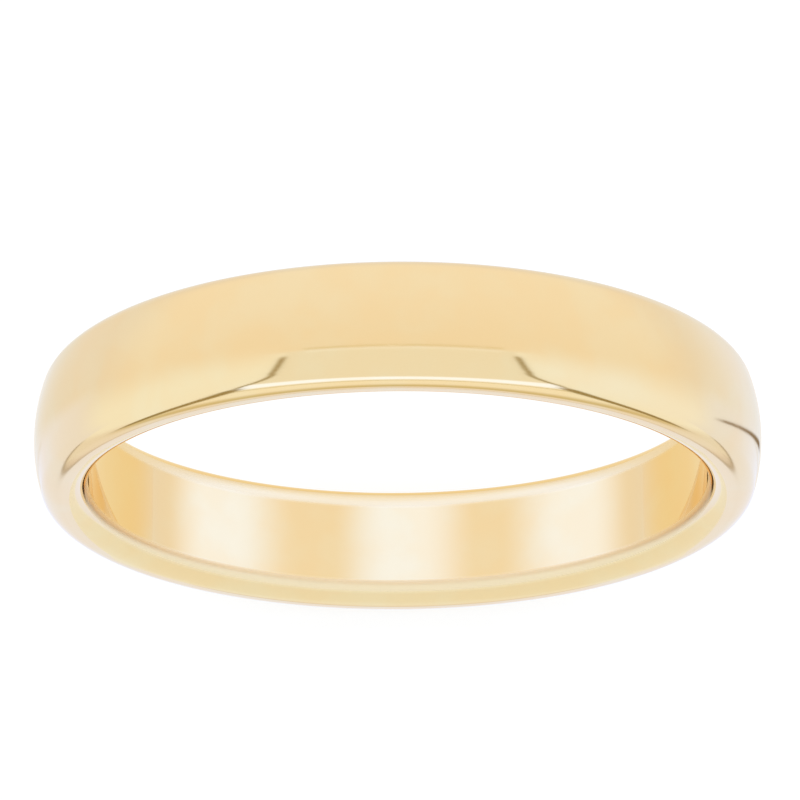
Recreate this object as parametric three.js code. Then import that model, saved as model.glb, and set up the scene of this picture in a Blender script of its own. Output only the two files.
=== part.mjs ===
// A plain wedding band: one seamless ring of polished yellow gold.
// Millimetres, +Z up. The band stands on its edge: its axis, the way the finger
// goes through, lies along Y, and the origin is the centre of the finger hole.

import * as THREE from 'three';

// Driving dimensions.
const INNER_DIAMETER = 17.15; // finger size: EU 54
const WALL = 1.5;             // thickness at the middle of the band
const WIDTH = 3.5;            // from side to side, along the finger
const CROWN_RADIUS = 4.6;     // low dome across the outer face
const SHOULDER_RADIUS = 0.55; // rounds the crown into each side
const EASE_REACH = 0.6;       // how far the rounded inner edge reaches in from the side
const EASE_DEPTH = 0.65;      // how deep it is at the side, measured from the seat

// Fineness of the faceted surface.
const AROUND = 96;
const CROWN_STEPS = 4;
const SHOULDER_STEPS = 5;
const EASE_STEPS = 5;

const innerRadius = INNER_DIAMETER / 2;
const outerRadius = innerRadius + WALL;

// Points of an arc in the profile plane, where x is the distance from the ring's
// axis and y runs along it. Angle 0 points straight away from the axis.
function arc(centre, radius, from, to, steps) {
  return Array.from({ length: steps + 1 }, (_, i) => {
    const angle = THREE.MathUtils.lerp(from, to, i / steps);
    return new THREE.Vector2(Math.cos(angle), Math.sin(angle)).multiplyScalar(radius).add(centre);
  });
}

// Half of the cross-section, from the top of the crown, over the shoulder, across the
// narrow flat of the side and round the eased inner edge, to the seat that the finger fills.
function halfProfile() {
  const crownCentre = new THREE.Vector2(outerRadius - CROWN_RADIUS, 0);
  const inset = CROWN_RADIUS - SHOULDER_RADIUS;
  const tangent = Math.asin((WIDTH / 2 - SHOULDER_RADIUS) / inset);
  const shoulderCentre = new THREE.Vector2(Math.cos(tangent), Math.sin(tangent))
    .multiplyScalar(inset).add(crownCentre);

  const crown = arc(crownCentre, CROWN_RADIUS, 0, tangent, CROWN_STEPS);
  const shoulder = arc(shoulderCentre, SHOULDER_RADIUS, tangent, Math.PI / 2, SHOULDER_STEPS);
  const ease = new THREE.EllipseCurve(
    innerRadius + EASE_DEPTH, WIDTH / 2 - EASE_REACH,
    EASE_DEPTH, EASE_REACH,
    Math.PI / 2, Math.PI,
  ).getPoints(EASE_STEPS);

  return [...crown, ...shoulder.slice(1), ...ease];
}

// The whole cross-section: one half, then its mirror image back to the start.
function profile() {
  const half = halfProfile();
  const mirrored = half.map((p) => new THREE.Vector2(p.x, -p.y)).reverse();
  return [...half, ...mirrored];
}

const gold = new THREE.MeshStandardMaterial({ color: 0xeed29a, roughness: 0.08, metalness: 1 });

// LatheGeometry turns the profile about Y, which is the ring's own axis.
const band = new THREE.Mesh(new THREE.LatheGeometry(profile(), AROUND), gold);
band.name = 'band';

const weddingBand = new THREE.Group();
weddingBand.add(band);

export default weddingBand;
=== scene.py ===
"""A plain wedding band in polished yellow gold, standing on its edge on a white table in a light tent.

The ring's axis lies along Y and the finger hole's centre is at the origin, as in the frame.
"""
import math

import bmesh
import bpy
from mathutils import Matrix, Vector


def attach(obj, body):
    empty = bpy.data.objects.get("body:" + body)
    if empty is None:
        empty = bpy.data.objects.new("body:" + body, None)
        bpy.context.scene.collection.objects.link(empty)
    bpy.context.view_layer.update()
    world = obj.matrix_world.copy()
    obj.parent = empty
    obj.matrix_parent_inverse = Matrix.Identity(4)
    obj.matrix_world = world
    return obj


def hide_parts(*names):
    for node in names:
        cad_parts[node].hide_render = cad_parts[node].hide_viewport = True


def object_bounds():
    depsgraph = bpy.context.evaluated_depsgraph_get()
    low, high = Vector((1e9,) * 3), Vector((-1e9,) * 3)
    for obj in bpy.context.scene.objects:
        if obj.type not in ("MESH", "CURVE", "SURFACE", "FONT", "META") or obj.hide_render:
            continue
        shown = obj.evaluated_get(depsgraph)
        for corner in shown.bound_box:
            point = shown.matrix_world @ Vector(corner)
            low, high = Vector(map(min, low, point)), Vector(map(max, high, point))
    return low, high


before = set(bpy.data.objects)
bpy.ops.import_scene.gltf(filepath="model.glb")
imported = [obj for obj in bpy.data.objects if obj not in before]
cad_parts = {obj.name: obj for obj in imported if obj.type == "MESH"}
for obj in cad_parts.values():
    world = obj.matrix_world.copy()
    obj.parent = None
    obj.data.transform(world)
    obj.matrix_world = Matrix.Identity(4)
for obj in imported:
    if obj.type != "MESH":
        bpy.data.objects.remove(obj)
cad_low, cad_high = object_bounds()

MM = 0.001

# Sizes read from the frame, in metres.
OUTER_RADIUS = (cad_high.z - cad_low.z) / 2
HALF_WIDTH = (cad_high.y - cad_low.y) / 2
FLOOR_LEVEL = cad_low.z

# The cross-section, as the CAD part has it.
WALL = 1.5 * MM
INNER_RADIUS = OUTER_RADIUS - WALL
CROWN_RADIUS = 4.6 * MM
SHOULDER_RADIUS = 0.55 * MM
EASE_REACH = 0.6 * MM   # how far the rounded inner edge reaches in from the side
EASE_DEPTH = 0.65 * MM  # how deep it is at the side, measured from the seat

# Fineness of the mesh.
AROUND = 256
CROWN_STEPS = 12
SHOULDER_STEPS = 20
EASE_STEPS = 24
SEAT_HOLD = 0.03 * MM  # a loop this close to the ease keeps the seat's shading straight


# ---------------------------------------------------------------- camera

CAMERA_ELEVATION = math.radians(70.4)  # high above a ring that stands on its edge
CAMERA_DISTANCE = 151 * MM
CAMERA_LENS = 244.8
AIM_ABOVE = 1.25 * MM  # the ring sits a little below the middle of the picture
AIM_RIGHT = 0.07 * MM
CAMERA_ROLL = math.radians(-0.27)


def make_camera():
    """Looks down at the ring from the front, through a long lens."""
    data = bpy.data.cameras.new("camera")
    data.lens = CAMERA_LENS
    data.clip_start, data.clip_end = 10 * MM, 3.0
    camera = bpy.data.objects.new("camera", data)
    bpy.context.scene.collection.objects.link(camera)
    back = Vector((0, -math.cos(CAMERA_ELEVATION), math.sin(CAMERA_ELEVATION)))
    up = Vector((0, math.sin(CAMERA_ELEVATION), math.cos(CAMERA_ELEVATION)))
    location = back * CAMERA_DISTANCE
    aim = up * AIM_ABOVE + Vector((AIM_RIGHT, 0, 0))
    roll = Matrix.Rotation(CAMERA_ROLL, 3, "Z").to_quaternion()
    camera.rotation_mode = "QUATERNION"
    camera.location = location
    camera.rotation_quaternion = (aim - location).to_track_quat("-Z", "Y") @ roll
    bpy.context.scene.camera = camera


# ---------------------------------------------------------------- the ring's mesh


def arc(centre, deep, wide, start, end, steps):
    """Points of an elliptical arc in the section plane, as (distance from the axis, place along it)."""
    angles = [start + (end - start) * i / steps for i in range(steps + 1)]
    return [centre + Vector((deep * math.cos(a), wide * math.sin(a))) for a in angles]


def half_section():
    """From the top of the crown, over the shoulder, across the side and round to the seat."""
    crown_centre = Vector((OUTER_RADIUS - CROWN_RADIUS, 0))
    inset = CROWN_RADIUS - SHOULDER_RADIUS
    tangent = math.asin((HALF_WIDTH - SHOULDER_RADIUS) / inset)
    shoulder_centre = crown_centre + inset * Vector((math.cos(tangent), math.sin(tangent)))
    ease_centre = Vector((INNER_RADIUS + EASE_DEPTH, HALF_WIDTH - EASE_REACH))
    quarter = math.pi / 2
    return [
        *arc(crown_centre, CROWN_RADIUS, CROWN_RADIUS, 0, tangent, CROWN_STEPS),
        *arc(shoulder_centre, SHOULDER_RADIUS, SHOULDER_RADIUS, tangent, quarter, SHOULDER_STEPS)[1:],
        *arc(ease_centre, EASE_DEPTH, EASE_REACH, quarter, 2 * quarter, EASE_STEPS),
        Vector((INNER_RADIUS, ease_centre.y - SEAT_HOLD)),
    ]


def make_ring():
    """The whole section, turned about Y into one closed, smoothly shaded skin."""
    half = half_section()
    mirrored = [Vector((p.x, -p.y)) for p in reversed(half[1:])]
    section = half + mirrored

    mesh = bpy.data.meshes.new("gold_band")
    shape = bmesh.new()
    loops = []
    for i in range(AROUND):
        angle = 2 * math.pi * i / AROUND
        loops.append([
            shape.verts.new((p.x * math.sin(angle), p.y, p.x * math.cos(angle))) for p in section
        ])
    for i in range(AROUND):
        here, there = loops[i], loops[(i + 1) % AROUND]
        for j in range(len(section)):
            k = (j + 1) % len(section)
            shape.faces.new((here[j], there[j], there[k], here[k])).smooth = True
    bmesh.ops.recalc_face_normals(shape, faces=shape.faces)
    shape.to_mesh(mesh)
    shape.free()
    ring = bpy.data.objects.new("gold_band", mesh)
    bpy.context.scene.collection.objects.link(ring)
    return ring


# ---------------------------------------------------------------- node arithmetic


class Field:
    """A number that varies over a surface or over the sky: a node's output, with arithmetic."""

    def __init__(self, tree, socket):
        self.tree, self.socket = tree, socket

    def apply(self, operation, *others):
        node = self.tree.nodes.new("ShaderNodeMath")
        node.operation = operation
        for place, value in zip(node.inputs, (self, *others)):
            plug(self.tree, value, place)
        return Field(self.tree, node.outputs[0])

    def __add__(self, other):
        return self.apply("ADD", other)

    def __sub__(self, other):
        return self.apply("SUBTRACT", other)

    def __mul__(self, other):
        return self.apply("MULTIPLY", other)

    def __neg__(self):
        return self.apply("MULTIPLY", -1.0)

    def size(self):
        """Without its sign."""
        return self.apply("ABSOLUTE")

    def past(self, edge):
        """How far above the edge, and 0 below it."""
        return (self - edge).apply("MAXIMUM", 0.0)

    def above(self, edge, blur):
        """0 below the edge and 1 above it, turning smoothly over a stretch of blur."""
        node = self.tree.nodes.new("ShaderNodeMapRange")
        node.interpolation_type = "SMOOTHSTEP"
        plug(self.tree, self, node.inputs["Value"])
        node.inputs["From Min"].default_value = edge - blur / 2
        node.inputs["From Max"].default_value = edge + blur / 2
        return Field(self.tree, node.outputs["Result"])

    def below(self, edge, blur):
        return self.above(edge, blur).flip()

    def flip(self):
        """1 minus this field."""
        return -self + 1.0

    def near(self, middle, reach, blur):
        """1 within reach of the middle, and 0 away from it."""
        return (self - middle).size().below(reach, blur)


def plug(tree, value, place):
    """Joins a field or a node's output to an input, or sets the input's own value."""
    if isinstance(value, Field):
        value = value.socket
    if isinstance(value, bpy.types.NodeSocket):
        tree.links.new(value, place)
    else:
        place.default_value = value


class Layers:
    """A colour built up in layers, each covering the ones before it where its share is 1."""

    def __init__(self, tree, colour):
        self.tree, self.colour = tree, colour

    def lay(self, colour, share):
        node = self.tree.nodes.new("ShaderNodeMix")
        node.data_type = "RGBA"
        node.clamp_factor = True
        plug(self.tree, share, node.inputs[0])
        for value, place in ((self.colour, node.inputs[6]), (colour, node.inputs[7])):
            value = value.colour if isinstance(value, Layers) else value
            plug(self.tree, (*value, 1.0) if isinstance(value, tuple) else value, place)
        self.colour = node.outputs[2]


def axes(tree, kind, scale=1.0):
    """The three coordinates of one kind, as fields."""
    place = tree.nodes.new("ShaderNodeTexCoord")
    split = tree.nodes.new("ShaderNodeSeparateXYZ")
    tree.links.new(place.outputs[kind], split.inputs[0])
    return [Field(tree, socket) * scale for socket in split.outputs]


# ---------------------------------------------------------------- the light tent

# The tent is a colour for each direction, on a sphere of radius 1: x is to the right, y away
# from the camera's side and z up. Each layer has a colour, and where it lies.
SEAM_LEAN = 0.14        # the ceiling meets the front where y is this much times 1 - z
PANEL_MIDDLE = 0.015
PANEL_HALF = 0.632      # half the front panel's width, less where it narrows
BOARD_FRONT = -0.40     # y of the front edge of the white board under the ring
BOARD_BACK = -0.106     # y of its back edge, at z = 0, and how fast that falls with z
BOARD_BACK_LEAN = 0.452
DARK_TRIM = (0.36, 0.30, 0.14)


def make_tent():
    """A light tent all round the ring, painted on the world."""
    world = bpy.data.worlds.new("light_tent")
    world.use_nodes = True
    bpy.context.scene.world = world
    tree = world.node_tree
    x, y, z = axes(tree, "Generated")
    seam = y - z.flip() * SEAM_LEAN  # below 0 on the front, above 0 on the ceiling and the back

    tent = Layers(tree, (0.985, 0.985, 0.975))
    lay_back(tent, x, y, z)
    lay_front(tent, x, y, z, seam)
    lay_seam(tent, x, seam)
    lay_board(tent, x, y, z, seam)
    plug(tree, tent.colour, tree.nodes["Background"].inputs["Color"])


def lay_back(tent, x, y, z):
    """The back wall, cooler lower down and to the right."""
    tent.lay((1.02, 1.05, 1.10), y.above(0.45, 0.9))
    tent.lay((0.93, 0.96, 1.04), z.below(-0.1, 0.5))
    tent.lay((0.90, 0.95, 1.02), z.below(-0.6, 0.4))
    tent.lay((0.93, 1.03, 1.26), x.above(0.4, 0.5) * z.below(-0.4, 0.4))


def lay_front(tent, x, y, z, seam):
    """The side walls and, between them, the front panel with its dark trim. The panel narrows
    towards its top and its foot."""
    middle = (x - PANEL_MIDDLE).size()
    spread = middle + y.past(-0.2) * 0.3 + (-z).past(-0.35) * 0.18
    crisp, soft = seam.below(-0.01, 0.02), seam.below(-0.05, 0.30)

    side = Layers(tent.tree, (1.02, 1.14, 1.29))
    side.lay((1.02, 1.15, 1.38), x.above(0.7, 0.5))
    side.lay((0.91, 0.95, 1.02), z.below(-0.52, 0.2))
    tent.lay(side, crisp + (soft - crisp) * middle.above(0.62, 0.2))
    tent.lay(panel_colour(tent.tree, y, z), crisp * spread.below(PANEL_HALF, 0.02))

    trim = spread.near(PANEL_HALF, 0.015, 0.02) * y.below(-0.035, 0.01) * z.above(-0.60, 0.05)
    tent.lay(DARK_TRIM, trim)
    foot = spread.near(PANEL_HALF - 0.007, 0.045, 0.03) * y.below(-0.45, 0.1) * z.near(-0.2, 0.4, 0.1)
    tent.lay(DARK_TRIM, foot)


def panel_colour(tree, y, z):
    """From the top down: pale, a bright bar, a thin tan line, tan below it, and pale by the board."""
    panel = Layers(tree, (0.955, 1.03, 1.11))
    panel.lay((1.15, 1.42, 2.15), z.near(0.26, 0.14, 0.10))
    panel.lay((1.03, 1.09, 1.12), z.below(0.08, 0.05))
    panel.lay((0.70, 0.66, 0.48), z.near(0.02, 0.02, 0.03))
    panel.lay((0.72, 0.67, 0.47), z.below(-0.50, 0.35))
    panel.lay((0.93, 0.97, 1.06), y.above(-0.64, 0.1) * z.below(-0.4, 0.1))
    panel.lay((0.81, 0.79, 0.83), y.above(-0.46, 0.05) * z.below(-0.6, 0.1))
    return panel


def lay_seam(tent, x, seam):
    """The join between the ceiling and the front panel: a shadow line and a light one."""
    line = (x - 0.03).size().below(0.5, 0.04)
    tent.lay((0.80, 0.76, 0.58), seam.near(0.010, 0.008, 0.008) * line)
    tent.lay((1.02, 1.14, 1.32), seam.near(-0.018, 0.010, 0.010) * line)


def lay_board(tent, x, y, z, seam):
    """The white board under the ring, with its front and back edges."""
    board = z.below(-0.35, 0.3) * y.above(BOARD_FRONT, 0.02) * seam.below(0.02, 0.1)
    tent.lay((0.94, 1.04, 1.33), board)
    front_edge = y.near(BOARD_FRONT, 0.014, 0.02) * z.below(-0.5, 0.1) * x.size().near(0.42, 0.3, 0.1)
    tent.lay((0.42, 0.37, 0.30), front_edge)
    back_edge = (y + z * BOARD_BACK_LEAN).near(BOARD_BACK, 0.007, 0.008) * x.near(0.57, 0.3, 0.1)
    tent.lay((0.25, 0.18, 0.10), back_edge * z.below(-0.4, 0.1))


# ---------------------------------------------------------------- lights, table and cards

# Angle round the ring, from its lowest point, of the stretch of seat that mirrors each light
# strip towards the camera; how far from the seat the strip hangs; and its width.
STRIPS = (
    (math.radians(1.3), 13 * MM, 8.6 * MM),
    (math.radians(37), 12 * MM, 9.1 * MM),
    (math.radians(-37), 12 * MM, 9.1 * MM),
)
STRIP_OVERLAP = 1.5 * MM  # how far each one starts before the place where mid-seat sees it
STRIP_LENGTH = 14 * MM
STRIP_BRIGHT = (0.075, 0.29, 0.90)
STRIP_HALF_GLOW = 0.295   # it is half as bright this share of its width from its middle
STRIP_FADE = 0.41         # and fades out over this share of its width

TABLE_SIZE = 3.0
TABLE_GLOW = (0.72, 0.72, 0.72)

WHITE_CARD_SIZE = (17 * MM, 9 * MM)
WHITE_CARD_PLACE = (0, -4 * MM, -7.5 * MM)
WHITE_CARD_GLOW = (0.62, 0.70, 0.76)

WARM_CARD_SIZE = (26 * MM, 8.4 * MM)
WARM_CARD_PLACE = (0, 6.1 * MM, FLOOR_LEVEL - 1 * MM)
WARM_CARD_GLOW = (0.60, 0.50, 0.24)
WARM_CARD_END_GLOW = (0.58, 0.58, 0.60)
WARM_CARD_HALF_WARM = 9 * MM  # its glow is halfway to the end glow this far from its middle
WARM_CARD_FADE = 13 * MM      # and changes over this length


def make_strip(turn, reach, width):
    """A soft light that runs away behind the ring, where the seat mirrors it towards the camera."""
    inward = Vector((-math.sin(turn), 0, math.cos(turn)))
    seat = -inward * INNER_RADIUS
    ray = (seat - bpy.context.scene.camera.location).normalized().reflect(inward)
    outward = Vector((ray.x, 0, ray.z)).normalized()
    along = Vector((0, 1, 0))
    place = seat + ray * reach + along * (STRIP_LENGTH / 2 - STRIP_OVERLAP)

    light = bpy.data.lights.new("strip", "AREA")
    light.shape = "RECTANGLE"
    light.size, light.size_y = width, STRIP_LENGTH
    light.energy = math.pi * width * STRIP_LENGTH  # so that it looks as bright as its colour
    light.color = STRIP_BRIGHT
    strip = bpy.data.objects.new("strip", light)
    turned = Matrix((along.cross(outward), along, outward)).transposed().to_4x4()
    strip.matrix_world = Matrix.Translation(place) @ turned
    strip.visible_camera = strip.visible_diffuse = False
    bpy.context.scene.collection.objects.link(strip)
    fade_across(light)


def fade_across(light):
    """Makes a light strip brightest along its middle, fading out to both sides."""
    light.use_nodes = True
    tree = light.node_tree
    place = tree.nodes.new("ShaderNodeNewGeometry")
    split = tree.nodes.new("ShaderNodeSeparateXYZ")
    tree.links.new(place.outputs["Parametric"], split.inputs[0])
    fade = Field(tree, split.outputs["X"]).near(0.5, STRIP_HALF_GLOW, STRIP_FADE)
    plug(tree, fade, tree.nodes["Emission"].inputs["Strength"])


def make_sheet(name, size, glow):
    """A flat white sheet, facing up, that shines by itself as much as glow says."""
    mesh = bpy.data.meshes.new(name)
    shape = bmesh.new()
    bmesh.ops.create_grid(shape, x_segments=1, y_segments=1, size=0.5)
    bmesh.ops.scale(shape, vec=(*size, 1), verts=shape.verts)
    shape.to_mesh(mesh)
    shape.free()
    material = bpy.data.materials.new(name)
    material.use_nodes = True
    shader = material.node_tree.nodes["Principled BSDF"]
    shader.inputs["Base Color"].default_value = (0.35, 0.35, 0.35, 1)
    shader.inputs["Roughness"].default_value = 1.0
    shader.inputs["Specular IOR Level"].default_value = 0.0
    shader.inputs["Emission Color"].default_value = (*glow, 1)
    shader.inputs["Emission Strength"].default_value = 1.0
    mesh.materials.append(material)
    sheet = bpy.data.objects.new(name, mesh)
    bpy.context.scene.collection.objects.link(sheet)
    return sheet


def make_table():
    """A plain white table top. The ring mirrors the tent's own white board instead of it."""
    table = make_sheet("table_top", (TABLE_SIZE, TABLE_SIZE), TABLE_GLOW)
    table.location.z = FLOOR_LEVEL
    table.visible_glossy = False


def make_white_card():
    """A low white card close in front of the ring, seen only where its lower rim mirrors it."""
    card = make_sheet("white_card", WHITE_CARD_SIZE, WHITE_CARD_GLOW)
    card.rotation_euler.x = math.pi / 2
    card.location = WHITE_CARD_PLACE
    show_in_mirrors_only(card)


def make_warm_card():
    """A card below and behind the ring, seen only where the ends of the seat mirror it."""
    card = make_sheet("warm_card", WARM_CARD_SIZE, WARM_CARD_GLOW)
    card.location = WARM_CARD_PLACE
    show_in_mirrors_only(card)
    tree = card.active_material.node_tree
    x, _, _ = axes(tree, "Object")
    glow = Layers(tree, WARM_CARD_END_GLOW)
    glow.lay(WARM_CARD_GLOW, x.size().below(WARM_CARD_HALF_WARM, WARM_CARD_FADE))
    plug(tree, glow.colour, tree.nodes["Principled BSDF"].inputs["Emission Color"])


def show_in_mirrors_only(card):
    """Hides a card from everything except what mirrors it."""
    card.visible_camera = card.visible_diffuse = card.visible_shadow = False


# ---------------------------------------------------------------- gold

BUMP_HEIGHT = 0.001 * MM

# In millimetres, like the coordinates in make_gold.
HALF_WIDTH_MM = HALF_WIDTH / MM
INSIDE_RADIUS = (INNER_RADIUS + EASE_DEPTH) / MM + 0.05  # the inside's finish stops at this radius
RUBBED_SHEEN_RADIUS = 9.05                                     # and the rubbed edge's roughness and painted sheen stop at this one

GOLD = (0.90, 0.68, 0.375)
GOLD_RICH = (0.907, 0.671, 0.36)
GOLD_PALE = (0.897, 0.693, 0.395)
# Paler gold painted on the rubbed inner edges: a painted sheen that lifts their tone like a highlight.
GOLD_PAINTED_SHEEN = (0.93, 0.755, 0.49)


def noise(tree, x, y, z, detail):
    """Smooth noise between 0 and 1, with features about one unit across."""
    place = tree.nodes.new("ShaderNodeCombineXYZ")
    for value, socket in zip((x, y, z), place.inputs):
        plug(tree, value, socket)
    node = tree.nodes.new("ShaderNodeTexNoise")
    node.inputs["Scale"].default_value = 1.0
    node.inputs["Detail"].default_value = detail
    tree.links.new(place.outputs[0], node.inputs["Vector"])
    return Field(tree, node.outputs[0])


def make_gold():
    """Polished gold: hand-buffed outside, a mirror inside, and rubbed along the inner edges, which are
    also painted paler as a painted sheen.
    """
    material = bpy.data.materials.new("polished_gold")
    material.use_nodes = True
    tree = material.node_tree
    shader = tree.nodes["Principled BSDF"]
    shader.inputs["Metallic"].default_value = 1.0

    x, y, z = axes(tree, "Object", 1 / MM)
    radius = (x * x + z * z).apply("SQRT")
    across = radius - y.size()  # grows across the surface, the same all round the ring
    inside = radius.below(INSIDE_RADIUS, 0.06)
    shoulder = y.size().above(HALF_WIDTH_MM - 0.3, 0.4)
    # The rubbed inner edges: rougher, and painted a paler gold as a painted sheen.
    rubbed_and_sheen = y.size().near(HALF_WIDTH_MM - 0.45, 0.16, 0.15) * radius.below(RUBBED_SHEEN_RADIUS, 0.1)

    # The factors are features per millimetre.
    patches = noise(tree, x * 0.55, y * 0.55, z * 0.55, 3.0)
    ripples = noise(tree, x * 0.8, y * 0.8 + 40.0, z * 0.8, 1.0)
    hairlines = noise(tree, x * 0.3 + y, across * 22, z * 0.3, 2.0)
    strokes = noise(tree, x * 0.5 - y * 2, across * 5, z * 0.5 + y * 2, 1.0)
    scratches = strokes.near(0.5, 0.002, 0.004) * patches.above(0.55, 0.06)

    colour = Layers(tree, GOLD)
    colour.lay(GOLD_RICH, patches.above(0.52, 0.2))
    colour.lay(GOLD_PALE, patches.below(0.42, 0.2))
    # Painted sheen: the rubbed edges are painted paler than the gold around them.
    colour.lay(GOLD_PAINTED_SHEEN, rubbed_and_sheen)
    plug(tree, colour.colour, shader.inputs["Base Color"])

    outside_roughness = hairlines * 0.03 + patches * 0.02 + shoulder * 0.02 + scratches * 0.08 + 0.055
    inside_roughness = hairlines * 0.01 + scratches * 0.03 + 0.025
    polish = outside_roughness + (inside_roughness - outside_roughness) * inside
    plug(tree, polish + rubbed_and_sheen * 0.36, shader.inputs["Roughness"])

    bump = tree.nodes.new("ShaderNodeBump")
    bump.inputs["Distance"].default_value = BUMP_HEIGHT
    plug(tree, ripples * 0.4 + hairlines * 0.025 - scratches * 0.05, bump.inputs["Height"])
    tree.links.new(bump.outputs[0], shader.inputs["Normal"])
    return material


# ---------------------------------------------------------------- the scene

make_camera()
make_tent()
for strip in STRIPS:
    make_strip(*strip)
make_table()
make_white_card()
make_warm_card()

ring = make_ring()
ring.data.materials.append(make_gold())
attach(ring, "root")
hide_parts("band")

bpy.context.scene.view_settings.view_transform = "Standard"
